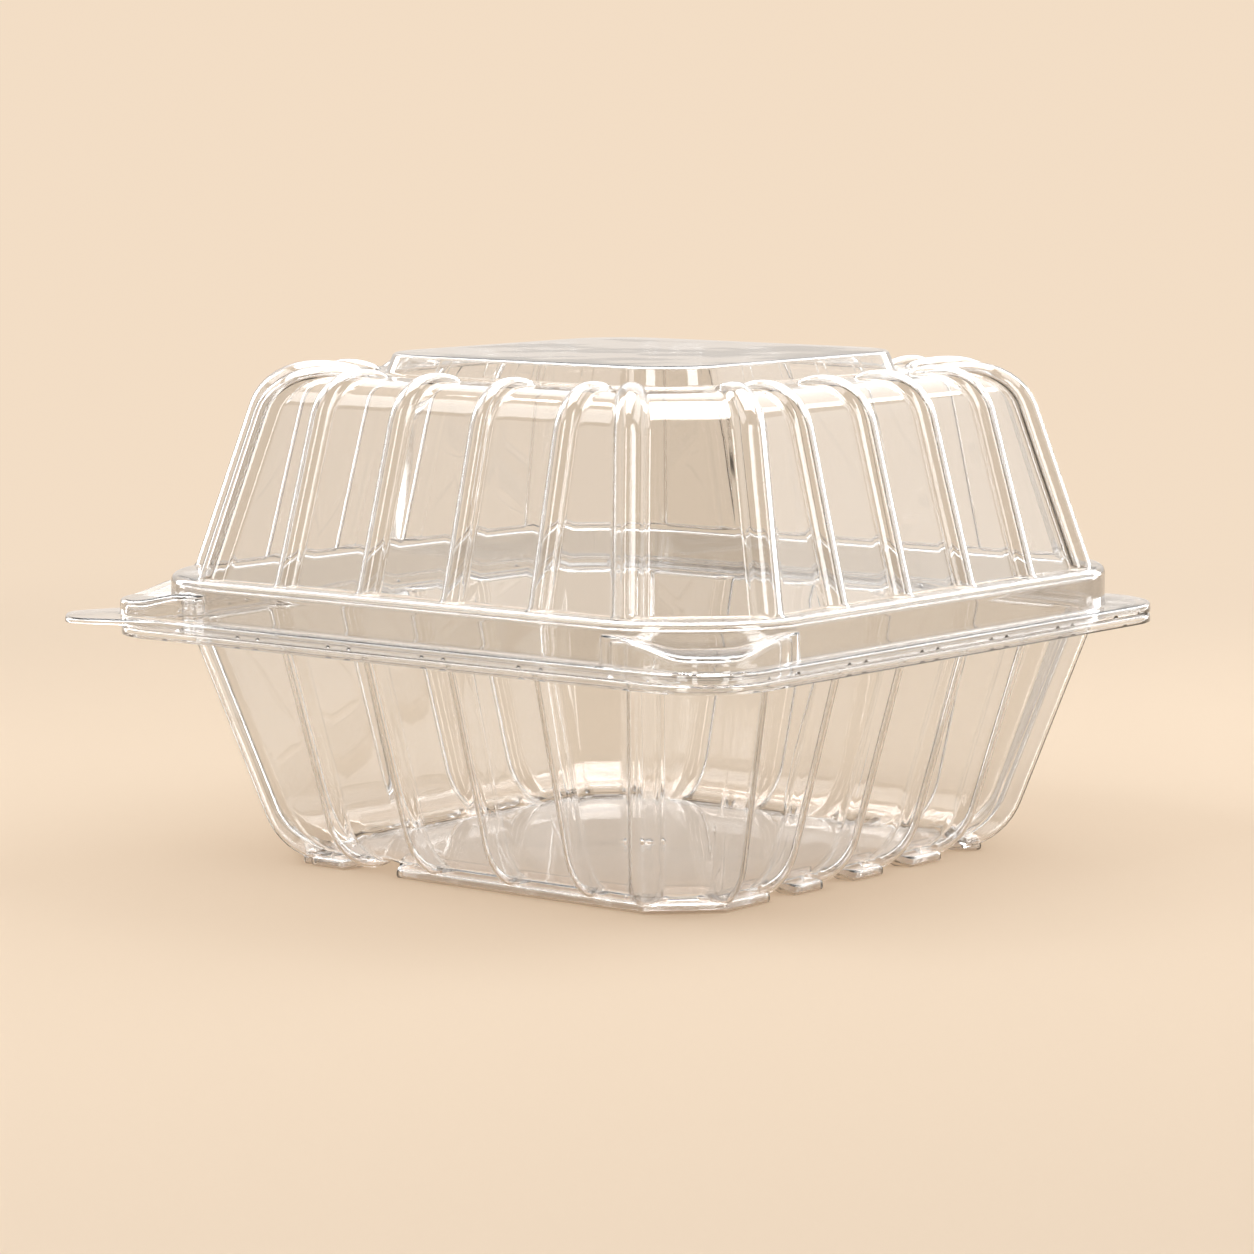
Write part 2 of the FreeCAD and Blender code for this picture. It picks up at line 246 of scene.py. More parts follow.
def side_points(level):
    """The front side of a level with its ribs, and the corner panel after it."""
    along = Vector((1.0, 0.0, 0.0))
    ribs = [rib(level, -level.vertex, Vector((-slant, slant, 0.0)), along,
                Vector((-math.sin(half_eighth), -math.cos(half_eighth), 0.0)), corner_rib)]
    for place in rib_places:
        ribs.append(rib(level, place * level.pitch, -along, along, Vector((0.0, -1.0, 0.0)), plain_rib))
    ribs.append(rib(level, level.vertex, -along, Vector((slant, slant, 0.0)),
                    Vector((math.sin(half_eighth), -math.cos(half_eighth), 0.0)), corner_rib))
    panels = [reversed_shares] + [even_shares] * (len(ribs) - 3) + [close_shares]
    points = []
    for one, following, shares in zip(ribs, ribs[1:], panels):
        points += one + [one[-1].lerp(following[0], share) for share in shares]
    next_side = Matrix.Rotation(quarter, 3, "Z") @ ribs[0][0]
    return points + ribs[-1] + between(ribs[-1][-1], next_side, corner_steps)


def wall_ring(level):
    """All the points of a level, anticlockwise seen from above."""
    front = side_points(level)
    ring = []
    for side in range(4):
        turn = Matrix.Rotation(side * quarter, 3, "Z")
        ring += [turn @ point for point in front]
    return ring


def on_outline(direction, half, corner):
    """Where a ray from the middle meets a square with round corners."""
    x, y = abs(direction.x), abs(direction.y)
    reach = half / max(x, y)
    flat = half - corner
    if min(x, y) * reach > flat:
        along = (x + y) * flat
        size = x * x + y * y
        reach = (along + math.sqrt(along * along - size * (2.0 * flat * flat - corner * corner))) / size
    return Vector((direction.x * reach, direction.y * reach, 0.0))


def at_height(points, z):
    return [Vector((point.x, point.y, z)) for point in points]


def outline_ring(rays, half, corner, z):
    return at_height([on_outline(ray, half, corner) for ray in rays], z)


def held_in(ring, half, corner):
    """The ring with the points that stand outside an outline drawn in to it."""
    held = []
    for point in ring:
        limit = on_outline(point, half, corner)
        outside = math.hypot(point.x, point.y) > limit.length
        held.append(Vector((limit.x, limit.y, point.z)) if outside else point)
    return held


def rounded_profile(corners, steps=4):
    """Half and height along a profile. Each corner is half, height and the radius that rounds it."""
    points = [Vector(corners[0][:2])]
    for before, here, after in zip(corners, corners[1:], corners[2:]):
        middle = Vector(here[:2])
        inward = (Vector(before[:2]) - middle).normalized()
        onward = (Vector(after[:2]) - middle).normalized()
        half_angle = inward.angle(onward) / 2.0
        start = middle + inward * here[2] / math.tan(half_angle)
        end = middle + onward * here[2] / math.tan(half_angle)
        centre = middle + (inward + onward).normalized() * here[2] / math.sin(half_angle)
        for i in range(steps + 1):
            outward = (start - centre).slerp(end - centre, i / steps).normalized()
            points.append(centre + outward * here[2])
    return points + [Vector(corners[-1][:2])]


def profile_rings(rays, corners, corner_less):
    """Rings along a rounded profile. The outline's corner radius is its half less corner_less."""
    return [outline_ring(rays, half, half - corner_less, z) for half, z in rounded_profile(corners)]


def block_point(ray, face):
    """Where the plain and the stepped face of a rim stand on a ray, and the shelf's height there."""
    plain = on_outline(ray, face.half, face.corner)
    shelf = face.top - face.drop
    if ray.y > 0.0:
        return plain, plain, shelf
    full = on_outline(ray, face.half + sum(block_steps), face.block_corner)
    along = min(abs(full.x), abs(full.y))
    share = ramp((along - face.block_start) / block_ramp)
    stand = block_steps[0]
    stand += block_steps[1] * ramp((along - face.block_start - block_step_length) / block_ramp)
    corner = on_outline(ray, face.half + stand, face.block_corner)
    sloping = face.half - face.block_start - block_corner
    slope = ramp((along - face.block_start - block_step_length) / sloping)
    return plain, plain.lerp(corner, share), shelf - shelf_fall * slope


def face_rings(rays, face):
    """The upright face of a rim from its top edge to its foot, with the snap blocks' shelves and faces."""
    turns = [("fillet", 0.0), ("fillet", 0.5), ("fillet", 1.0), ("edge", 0.0)]
    turns += [("edge", share) for share in fillet_shares] + [("foot", 1.0)]
    blocks = [block_point(ray, face) for ray in rays]
    rings = []
    for i, (kind, share) in enumerate(turns):
        ring = []
        for plain, block, shelf in blocks:
            gap = (block - plain).length
            fillet = min(shelf_fillet, fillet_limit * gap)
            edge = min(shelf_edge, edge_limit * gap)
            if kind == "fillet":
                out = fillet * (1.0 - math.cos(quarter * share))
                z = shelf + fillet * (1.0 - math.sin(quarter * share))
            elif kind == "edge":
                out = gap - edge + edge * math.sin(quarter * share)
                z = shelf - edge + edge * math.cos(quarter * share)
            else:
                out = gap
                z = face.foot
            plain_z = mix(face.top, face.foot, (i + 1) / len(turns))
            z = mix(plain_z, z, ramp(gap / shelf_blend))
            point = plain.lerp(block, out / gap) if gap > 0.0 else plain
            ring.append(Vector((point.x, point.y, z)))
        rings.append(ring)
    return rings


def grown(ring, distance, z):
    """A flat copy of a ring, moved out along its rays."""
    return at_height([point * (1.0 + distance / math.hypot(point.x, point.y)) for point in ring], z)


def foot_fillet(ring, foot):
    """Rings that round a rim's face into the flat of its flange, which lies at the height foot."""
    rings = []
    for share in fillet_shares:
        out = rim_fillet * (1.0 - math.cos(quarter * share))
        rings.append(grown(ring, out, foot + rim_fillet * (1.0 - math.sin(quarter * share))))
    return rings


def tab_outline(ray, inset):
    """Where a ray meets the flange's outline with the pull tab on its front left corner."""
    plain = on_outline(ray, flange_half - inset, flange_corner - inset)
    if ray.x > 0.0 or ray.y > 0.0:
        return plain, 0.0
    corner = (flange_half - flange_corner) / slant + flange_corner
    root = corner - flange_corner
    tip = corner + tab_reach - inset
    off = abs(math.atan2(ray.y, ray.x) + quarter + eighth)
    if off > eighth / 2.0:
        return plain, 0.0
    taper = (tab_root - tab_tip) / (tip - root)
    to_tip = tip / math.cos(off)
    to_side = (tab_root - inset + root * taper) / (math.sin(off) + taper * math.cos(off))
    tab = (to_tip ** -tab_round + to_side ** -tab_round) ** (-1.0 / tab_round)
    ratio = tab / plain.length
    grow = (1.0 + ratio ** tab_neck) ** (1.0 / tab_neck)
    return plain * grow, ramp((grow - 1.0) * plain.length / tab_fade)


def drawn_on(mesh, rim, edges, points):
    """Extrude the edges and put the new vertices, in the order of the rim's, at the points."""
    fresh = bmesh.ops.extrude_edge_only(mesh, edges=edges)["geom"]
    new = {item for item in fresh if isinstance(item, bmesh.types.BMVert)}
    following = []
    for vert, point in zip(rim, points):
        partners = [edge.other_vert(vert) for edge in vert.link_edges]
        partner = next(other for other in partners if other in new)
        partner.co = point
        following.append(partner)
    onward = [item for item in fresh if isinstance(item, bmesh.types.BMEdge) and set(item.verts) <= new]
    return following, onward


def loft(rings, up):
    """A sheet that starts as a flat face in the middle and is extruded from ring to ring."""
    mesh = bmesh.new()
    rim = [mesh.verts.new(point) for point in rings[0]]
    middle = mesh.faces.new(rim)
    edges = list(middle.edges)
    for ring in rings[1:]:
        rim, edges = drawn_on(mesh, rim, edges, ring)
    bmesh.ops.recalc_face_normals(mesh, faces=mesh.faces)
    middle.normal_update()
    if (middle.normal.z > 0.0) != up:
        bmesh.ops.reverse_faces(mesh, faces=mesh.faces)
    return mesh


def finished(name, mesh, node, body, material, offset):
    """The sheet as an object in metres, with its thickness, in place of its node."""
    bmesh.ops.scale(mesh, vec=(millimetre, millimetre, millimetre), verts=mesh.verts)
    data = bpy.data.meshes.new(name)
    mesh.to_mesh(data)
    mesh.free()
    data.polygons.foreach_set("use_smooth", [True] * len(data.polygons))
    data.materials.append(material)
    piece = bpy.data.objects.new(name, data)
    bpy.context.collection.objects.link(piece)
    thick = piece.modifiers.new("sheet", "SOLIDIFY")
    thick.thickness = sheet * millimetre
    thick.offset = offset
    flats = piece.modifiers.new("flats", "WEIGHTED_NORMAL")
    flats.weight = 60
    if body:
        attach(piece, body)
    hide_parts(node)
    return piece


def lid_top_rings(rays):
    """The raised middle of the lid, from its flat top to its foot on the ring."""
    top = ring_top + plateau_height
    edge_half = plateau_half - plateau_draft
    corners = [(edge_half - plateau_margin, top, 0.0), (edge_half, top, plateau_edge),
               (plateau_half, ring_top, plateau_foot), (plateau_half + ring_margin, ring_top, 0.0)]
    return profile_rings(rays, corners, plateau_half - plateau_corner)


def lid_wall_rings():
    """The lid's ribs and panels: rib ends on the ring, the shoulder, the leaning wall and its foot."""
    lean = math.radians(lid_lean)
    centre_z = ring_top - lid_curl
    straight_top = centre_z + lid_curl * math.sin(lean)
    straight_half = lid_half - (straight_top - ledge_top) * math.tan(lean)
    centre_half = straight_half - lid_curl * math.cos(lean)
    rings = []
    for share in tip_shares:
        fade = math.sqrt(1.0 - share * share)
        rings.append(wall_ring(wall_level(lid_wall, centre_half - rib_tip * share, ring_top, 90.0,
                                          mix(tip_width, shoulder_size, fade), shoulder_size * fade)))
    for i in range(shoulder_steps + 1):
        tilt = mix(90.0, lid_lean, i / shoulder_steps)
        angle = math.radians(tilt)
        size = mix(shoulder_size, 1.0, i / shoulder_steps)
        rings.append(wall_ring(wall_level(lid_wall, centre_half + lid_curl * math.cos(angle),
                                          centre_z + lid_curl * math.sin(angle), tilt, size, size)))
    corners = [(straight_half, straight_top, 0.0), (lid_half, ledge_top, wall_foot),
               (lid_half + flat_margin, ledge_top, 0.0)]
    foot = rounded_profile(corners)[1:-1]
    for share in lid_wall_shares:
        rings.append(wall_ring(wall_level(lid_wall, mix(straight_half, foot[0].x, share),
                                          mix(straight_top, foot[0].y, share), lid_lean)))
    for i, (half, z) in enumerate(foot):
        wall_here = lid_half - (z - ledge_top) * math.tan(lean)
        tilt = lid_lean * (1.0 - i / (len(foot) - 1))
        ring = wall_ring(wall_level(lid_wall, half, z, tilt, spread=half - wall_here))
        inset = band_edge + band_margin
        rings.append(held_in(ring, band_half - inset, band_corner - inset))
    return rings


def make_lid(material):
    rays = wall_ring(wall_level(lid_wall, lid_half, ledge_top, 0.0, rise=0.0))
    rings = lid_top_rings(rays) + lid_wall_rings()
    face_top = ledge_top - face_drop
    corners = [(band_half - band_edge - flat_end, ledge_top, 0.0), (band_half, ledge_top, band_edge),
               (band_half, face_top, 0.0)]
    rings += profile_rings(rays, corners, band_half - band_corner)
    foot = lid_flange_top
    face = Face(band_half, band_corner, block_corner, block_start, face_top, foot + rim_fillet,
                shelf_drop - face_drop)
    rings += face_rings(rays, face)
    rings += foot_fillet(rings[-1], foot)
    for inset, drop in flange_edge:
        rings.append(at_height([tab_outline(ray, inset)[0] for ray in rays], foot - drop))
    lip = []
    for ray in rays:
        point, tab = tab_outline(ray, 0.0)
        lip.append(Vector((point.x, point.y, mix(lid_low.z, foot - tab_depth, tab))))
    rings.append(lip)
    return finished("lid_sheet", loft(rings, True), "lid", "cover", material, -1.0)


def foot_share(point, side):
    """How much a point of the bottom edge belongs to a foot."""
    here = Matrix.Rotation(-side * quarter, 3, "Z") @ point
    share = ramp(((abs(here.x) + here.y) * slant + corner_foot) / foot_edge + 0.5)
    for low, high in front_feet if side == 0 else other_feet:
        inside = ramp((here.x - low) / foot_edge + 0.5) * ramp((high - here.x) / foot_edge + 0.5)
        share = max(share, inside)
    return share


def tub_bottom_rings(centre_half, centre_z):
    """The curled bottom edge with the ribs' ends, and the feet, low hollow plates under it."""
    inner = foot_face - foot_depth
    feet = ((centre_half, foot_height), (inner - 0.4, foot_height), (inner, 1.1), (inner + 0.3, 0.3),
            (inner + 0.8, 0.0), (foot_face - 0.7, 0.0), (foot_face - 0.2, 0.2), (foot_face, 0.6),
            (foot_face, 1.2), (foot_face - 0.2, 1.7), (foot_face - 0.8, foot_top),
            (centre_half + 3.5, foot_top + 0.1))
    plain = wall_ring(wall_level(tub_wall, foot_face - foot_depth / 2.0, 0.0, 0.0, rise=0.0))
    per_side = len(plain) // 4
    shares = [foot_share(point, i // per_side) for i, point in enumerate(plain)]
    rings = []
    for (tilt, size), (half, z) in zip(under_curl, feet):
        wall = curl_ring(tilt, size, centre_half, centre_z)
        foot = wall_ring(wall_level(tub_wall, half, z, 0.0, rise=0.0))
        rings.append([a.lerp(b, share) for a, b, share in zip(wall, foot, shares)])
    for tilt, size in outer_curl:
        rings.append(curl_ring(tilt, size, centre_half, centre_z))
    return rings


def curl_ring(tilt, size, centre_half, centre_z):
    angle = math.radians(tilt)
    half = centre_half + tub_curl * math.cos(angle)
    z = centre_z - tub_curl * math.sin(angle)
    return wall_ring(wall_level(tub_wall, half, z, -tilt, mix(under_width, 1.0, size), size))


def make_tub(material):
    rays = wall_ring(wall_level(tub_wall, tub_half, tub_flange_low, 0.0, rise=0.0))
    lean = math.radians(tub_lean)
    centre_z = foot_height + tub_curl
    straight_low = centre_z - tub_curl * math.sin(lean)
    straight_half = tub_half - (tub_flange_low - straight_low) * math.tan(lean)
    centre_half = straight_half - tub_curl * math.cos(lean)
    corners = [(dimple - 1.4, 0.0, 0.0), (dimple - 0.5, 0.0, 0.5), (dimple + 0.4, foot_height, 0.6),
               (dimple + 1.6, foot_height, 0.0)]
    rings = [outline_ring(rays, half, half, z) for half, z in rounded_profile(corners, 3)]
    rings += tub_bottom_rings(centre_half, centre_z)
    corners = [(straight_half, straight_low, 0.0), (tub_half, tub_flange_low, wall_foot),
               (tub_half + flat_margin, tub_flange_low, 0.0)]
    top = rounded_profile(corners)[1:-1]
    for share in tub_wall_shares:
        half = mix(straight_half, top[0].x, share)
        z = mix(straight_low, top[0].y, share)
        rings.append(wall_ring(wall_level(tub_wall, half, z, -tub_lean)))
    bead = band_half - face_step - bead_width
    bead_less = band_half - band_corner
    for i, (half, z) in enumerate(top):
        wall_here = tub_half - (tub_flange_low - z) * math.tan(lean)
        tilt = -tub_lean * (1.0 - i / (len(top) - 1))
        level = wall_level(tub_wall, half, z, tilt, spread=half - wall_here)
        rings.append(held_in(wall_ring(level), bead - bead_margin, bead - bead_margin - bead_less))
    bead_top = ledge_top - sheet - bead_gap - sheet
    face_half = band_half - face_step
    face_top = bead_top - bead_depth
    corners = [(bead - wall_foot, tub_flange_low, 0.0), (bead, tub_flange_low, rim_fillet),
               (bead, bead_top, bead_edge), (face_half, bead_top, bead_edge), (face_half, face_top, 0.0)]
    rings += profile_rings(rays, corners, bead_less)
    face = Face(face_half, face_half - bead_less, block_corner - face_step, block_start + face_step,
                face_top, tub_flange_low + rim_fillet, face_top - (ledge_top - shelf_drop - face_step))
    rings += face_rings(rays, face)
    rings += foot_fillet(rings[-1], tub_flange_low)
    lip_half = flange_half - sheet
    corners = [(lip_half - rim_fillet, tub_flange_low, 0.0), (lip_half, tub_flange_low, lip_edge),
               (lip_half, tub_flange_low - tub_lip, 0.0)]
    rings += profile_rings(rays, corners, flange_half - flange_corner)
    return finished("tub_sheet", loft(rings, False), "base_tub", "base", material, -1.0)


def make_web(material):
    """The hinge web folded flat: a leg from the tub's flange, a turn and a leg to the lid's rim."""
    low = web_low.z + sheet / 2.0
    high = web_high.z - sheet / 2.0
    turn = (high - low) / 2.0
    turn_y = web_high.y - sheet / 2.0 - turn
    root = flange_half - web_overlap
    mesh = bmesh.new()
    rim = []
    for i in range(web_columns + 1):
        x = mix(-web_half, web_half, i / web_columns)
        x = web_half * math.sin(quarter * x / web_half)
        near_end = max(0.0, abs(x) - web_half + web_round) / web_round
        full = math.sqrt(max(0.0, 1.0 - near_end * near_end))
        reach = mix(root, turn_y, mix(web_least, 1.0, full))
        points = [Vector((x, mix(root, reach, share), low)) for share in web_leg]
        for j in range(web_arc + 1):
            angle = -quarter + 2.0 * quarter * j / web_arc
            y = reach + turn * math.cos(angle)
            points.append(Vector((x, y, low + turn + turn * math.sin(angle))))
        points += [Vector((x, mix(root, reach, share), high)) for share in reversed(web_leg)]
        if not rim:
            rim = [mesh.verts.new(point) for point in points]
            edges = [mesh.edges.new(pair) for pair in zip(rim, rim[1:])]
            continue
        rim, edges = drawn_on(mesh, rim, edges, points)
    bmesh.ops.recalc_face_normals(mesh, faces=mesh.faces)
    web = finished("web_sheet", mesh, "living_hinge", None, material, 0.0)
    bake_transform(web)
    return web


# Stage, in metres
floor_colour = (0.959, 0.780, 0.598)
backdrop_colour = (0.895, 0.727, 0.560)
painted_edge_shade = (0.16, 0.16, 0.165)           # painted shade: dark grey lines on the clear sheet where it is seen edge-on, for the dark studio it would mirror
painted_flat_light = (0.99, 0.97, 0.95)           # painted light: the clear sheet lighter and warmer where it lies flat, for the light it mirrors there
mirrored_behind = (0.84, 0.78, 0.72)      # what the sheet mirrors of the backdrop
mirrored_front = (0.08, 0.08, 0.085)      # and of the dark side of the studio, behind the camera
floor_radius = 12.0
floor_near = 0.20
floor_far = 0.55
camera_place = (0.50795, -0.64705, 0.14417)
camera_dip = 0.122                        # in radians, as is the turn
camera_turn = 0.669
camera_lens = 124.92
camera_sensor = 36.0
edge_from, edge_to = 0.62, 0.97           # facing at which the painted edge shade starts and is full
flat_from, flat_to = 0.9, 0.6             # height of the normal at which sheet is flat and is upright, for the painted flat light and edge shade
sheet_ior = 1.54
shadow_tint = (0.91, 0.89, 0.87)          # of light that falls through one face of the sheet
fill_colour = (1.0, 0.98, 0.96)
fill_strength = 0.36
mirror_from, mirror_to = -0.25, 0.6       # directions between the front and the backdrop
paper_roughness = 0.9
paper_gloss = 0.1
away = (-0.62, 0.784, 0.0)                # level direction from the camera to the pack
across = (0.784, 0.62, 0.0)               # and to the right of it


def either(nodes, links, first, second):
    """The greater of two values."""
    greater = nodes.new("ShaderNodeMath")
    greater.operation = "MAXIMUM"
    links.new(first, greater.inputs[0])
    links.new(second, greater.inputs[1])
    return greater.outputs["Value"]


def ripple_group():
    """The slow unevenness of formed sheet: a height for a bump, and a roughness that varies with it."""
    group = bpy.data.node_groups.new("sheet ripple", "ShaderNodeTree")
    for name, value in (("Scale", 30.0), ("Low", 0.0), ("High", 0.05)):
        socket = group.interface.new_socket(name=name, in_out="INPUT", socket_type="NodeSocketFloat")
        socket.default_value = value
    for name in ("Height", "Roughness"):
        group.interface.new_socket(name=name, in_out="OUTPUT", socket_type="NodeSocketFloat")
    nodes, links = group.nodes, group.links
    inputs = nodes.new("NodeGroupInput")
    outputs = nodes.new("NodeGroupOutput")
    place = nodes.new("ShaderNodeTexCoord")
    waves = nodes.new("ShaderNodeTexNoise")
    waves.inputs["Detail"].default_value = 2.0
    spread = nodes.new("ShaderNodeMapRange")
    links.new(place.outputs["Object"], waves.inputs["Vector"])
    links.new(inputs.outputs["Scale"], waves.inputs["Scale"])
    links.new(waves.outputs["Fac"], outputs.inputs["Height"])
    links.new(waves.outputs["Fac"], spread.inputs["Value"])
    links.new(inputs.outputs["Low"], spread.inputs["To Min"])
    links.new(inputs.outputs["High"], spread.inputs["To Max"])
    links.new(spread.outputs["Result"], outputs.inputs["Roughness"])
    return group


def clear_sheet(name, group, scale, low, high, bump, tint):
    """Clear plastic sheet, with painted shade where it stands upright and is seen edge-on, and painted
    light where it lies flat. Light on its way to a lamp goes straight through it: its shadow stays pale.
    """
    material = bpy.data.materials.new(name)
    material.use_nodes = True
    nodes, links = material.node_tree.nodes, material.node_tree.links
    plastic = nodes["Principled BSDF"]
    # Painted shade: dark grey where the upright sheet is seen edge-on, for the dark studio it would
    # mirror.
    edge_on = nodes.new("ShaderNodeLayerWeight")
    edge_on.inputs["Blend"].default_value = 0.5
    edge_shade_share = nodes.new("ShaderNodeMapRange")
    edge_shade_share.interpolation_type = "SMOOTHSTEP"
    edge_shade_share.inputs["From Min"].default_value = edge_from
    edge_shade_share.inputs["From Max"].default_value = edge_to
    tone = nodes.new("ShaderNodeMix")
    tone.data_type = "RGBA"
    tone.inputs["B"].default_value = (*painted_edge_shade, 1.0)
    # Painted light: a lighter, warmer colour where the sheet lies flat, for the light it mirrors there.
    plain = nodes.new("ShaderNodeMix")
    plain.data_type = "RGBA"
    plain.inputs["A"].default_value = (*painted_flat_light, 1.0)
    plain.inputs["B"].default_value = (*tint, 1.0)
    place = nodes.new("ShaderNodeTexCoord")
    facing = nodes.new("ShaderNodeSeparateXYZ")
    level = nodes.new("ShaderNodeMath")
    level.operation = "ABSOLUTE"
    upright = nodes.new("ShaderNodeMapRange")
    upright.interpolation_type = "SMOOTHSTEP"
    upright.inputs["From Min"].default_value = flat_from
    upright.inputs["From Max"].default_value = flat_to
    both = nodes.new("ShaderNodeMath")
    both.operation = "MULTIPLY"
    links.new(edge_on.outputs["Facing"], edge_shade_share.inputs["Value"])
    links.new(place.outputs["Normal"], facing.inputs["Vector"])
    links.new(facing.outputs["Z"], level.inputs[0])
    links.new(level.outputs["Value"], upright.inputs["Value"])
    links.new(edge_shade_share.outputs["Result"], both.inputs[0])
    links.new(upright.outputs["Result"], both.inputs[1])
    links.new(both.outputs["Value"], tone.inputs["Factor"])
    links.new(upright.outputs["Result"], plain.inputs["Factor"])
    links.new(plain.outputs["Result"], tone.inputs["A"])
    links.new(tone.outputs["Result"], plastic.inputs["Base Color"])
    plastic.inputs["Transmission Weight"].default_value = 1.0
    plastic.inputs["IOR"].default_value = sheet_ior
    ripple = nodes.new("ShaderNodeGroup")
    ripple.node_tree = group
    ripple.inputs["Scale"].default_value = scale
    ripple.inputs["Low"].default_value = low
    ripple.inputs["High"].default_value = high
    dent = nodes.new("ShaderNodeBump")
    dent.inputs["Strength"].default_value = bump
    dent.inputs["Distance"].default_value = millimetre
    links.new(ripple.outputs["Height"], dent.inputs["Height"])
    links.new(dent.outputs["Normal"], plastic.inputs["Normal"])
    links.new(ripple.outputs["Roughness"], plastic.inputs["Roughness"])
    path = nodes.new("ShaderNodeLightPath")
    through = nodes.new("ShaderNodeBsdfTransparent")
    through.inputs["Color"].default_value = (*shadow_tint, 1.0)
    choice = nodes.new("ShaderNodeMixShader")
    lighting = either(nodes, links, path.outputs["Is Shadow Ray"], path.outputs["Is Diffuse Ray"])
    links.new(lighting, choice.inputs["Fac"])
    links.new(plastic.outputs["BSDF"], choice.inputs[1])
    links.new(through.outputs["BSDF"], choice.inputs[2])
    links.new(choice.outputs["Shader"], nodes["Material Output"].inputs["Surface"])
    return material


def seen_ray(nodes, links):
    """1 for rays that look at the background: from the camera, or off or through the pack."""
    path = nodes.new("ShaderNodeLightPath")
    direct = either(nodes, links, path.outputs["Is Camera Ray"], path.outputs["Is Transmission Ray"])
    return either(nodes, links, direct, path.outputs["Is Glossy Ray"])


def make_floor():
    """A pale floor that goes over into the backdrop's colour away from the pack."""
    material = bpy.data.materials.new("floor paper")
    material.use_nodes = True
    nodes, links = material.node_tree.nodes, material.node_tree.links
    paper = nodes["Principled BSDF"]
    paper.inputs["Base Color"].default_value = (*floor_colour, 1.0)
    paper.inputs["Roughness"].default_value = paper_roughness
    paper.inputs["Specular IOR Level"].default_value = paper_gloss
    place = nodes.new("ShaderNodeTexCoord")
    distance = nodes.new("ShaderNodeVectorMath")
    distance.operation = "LENGTH"
    fade = nodes.new("ShaderNodeMapRange")
    fade.interpolation_type = "SMOOTHSTEP"
    fade.inputs["From Min"].default_value = floor_near
    fade.inputs["From Max"].default_value = floor_far
    glow = nodes.new("ShaderNodeEmission")
    glow.inputs["Color"].default_value = (*backdrop_colour, 1.0)
    both = nodes.new("ShaderNodeMath")
    both.operation = "MULTIPLY"
    choice = nodes.new("ShaderNodeMixShader")
    links.new(place.outputs["Object"], distance.inputs[0])
    links.new(distance.outputs["Value"], fade.inputs["Value"])
    links.new(fade.outputs["Result"], both.inputs[0])
    links.new(seen_ray(nodes, links), both.inputs[1])
    links.new(both.outputs["Value"], choice.inputs["Fac"])
    links.new(paper.outputs["BSDF"], choice.inputs[1])
    links.new(glow.outputs["Emission"], choice.inputs[2])
    links.new(choice.outputs["Shader"], nodes["Material Output"].inputs["Surface"])
    mesh = bmesh.new()
    bmesh.ops.create_circle(mesh, cap_ends=True, radius=floor_radius, segments=96)
    data = bpy.data.meshes.new("floor")
    mesh.to_mesh(data)
    mesh.free()
    data.materials.append(material)
    floor = bpy.data.objects.new("floor", data)
    bpy.context.collection.objects.link(floor)


def mirrored_mask(nodes, links, path):
    """1 for rays that the sheet has mirrored, also where they have passed through it since."""
    mirrored = nodes.new("ShaderNodeMath")
    mirrored.operation = "GREATER_THAN"
    mirrored.inputs[1].default_value = 0.5
    both = nodes.new("ShaderNodeMath")
    both.operation = "MULTIPLY"
    sharp = either(nodes, links, path.outputs["Is Glossy Ray"], path.outputs["Is Transmission Ray"])
    links.new(path.outputs["Glossy Depth"], mirrored.inputs[0])
    links.new(mirrored.outputs["Value"], both.inputs[0])
    links.new(sharp, both.inputs[1])
    return both.outputs["Value"]


def make_world():
    """Soft even light. The pack shows the backdrop, and mirrors a studio that is dark in front."""
    world = bpy.data.worlds.new("studio")
    bpy.context.scene.world = world
    world.use_nodes = True
    nodes, links = world.node_tree.nodes, world.node_tree.links
    fill = nodes["Background"]
    fill.inputs["Color"].default_value = (*fill_colour, 1.0)
    fill.inputs["Strength"].default_value = fill_strength
    place = nodes.new("ShaderNodeTexCoord")
    facing = nodes.new("ShaderNodeVectorMath")
    facing.operation = "DOT_PRODUCT"
    facing.inputs[1].default_value = away
    behind = nodes.new("ShaderNodeMapRange")
    behind.interpolation_type = "SMOOTHSTEP"
    behind.inputs["From Min"].default_value = mirror_from
    behind.inputs["From Max"].default_value = mirror_to
    colour = nodes.new("ShaderNodeMix")
    colour.data_type = "RGBA"
    colour.inputs["A"].default_value = (*mirrored_front, 1.0)
    colour.inputs["B"].default_value = (*mirrored_behind, 1.0)
    room = nodes.new("ShaderNodeBackground")
    backdrop = nodes.new("ShaderNodeBackground")
    backdrop.inputs["Color"].default_value = (*backdrop_colour, 1.0)
    path = nodes.new("ShaderNodeLightPath")
    direct = either(nodes, links, path.outputs["Is Camera Ray"], path.outputs["Is Transmission Ray"])
    first = nodes.new("ShaderNodeMixShader")
    second = nodes.new("ShaderNodeMixShader")
    links.new(place.outputs["Generated"], facing.inputs[0])
    links.new(facing.outputs["Value"], behind.inputs["Value"])
    links.new(behind.outputs["Result"], colour.inputs["Factor"])
    links.new(colour.outputs["Result"], room.inputs["Color"])
    links.new(direct, first.inputs["Fac"])
    links.new(fill.outputs["Background"], first.inputs[1])
    links.new(backdrop.outputs["Background"], first.inputs[2])
    links.new(mirrored_mask(nodes, links, path), second.inputs["Fac"])
    links.new(first.outputs["Shader"], second.inputs[1])
    links.new(room.outputs["Background"], second.inputs[2])
    links.new(second.outputs["Shader"], nodes["World Output"].inputs["Surface"])


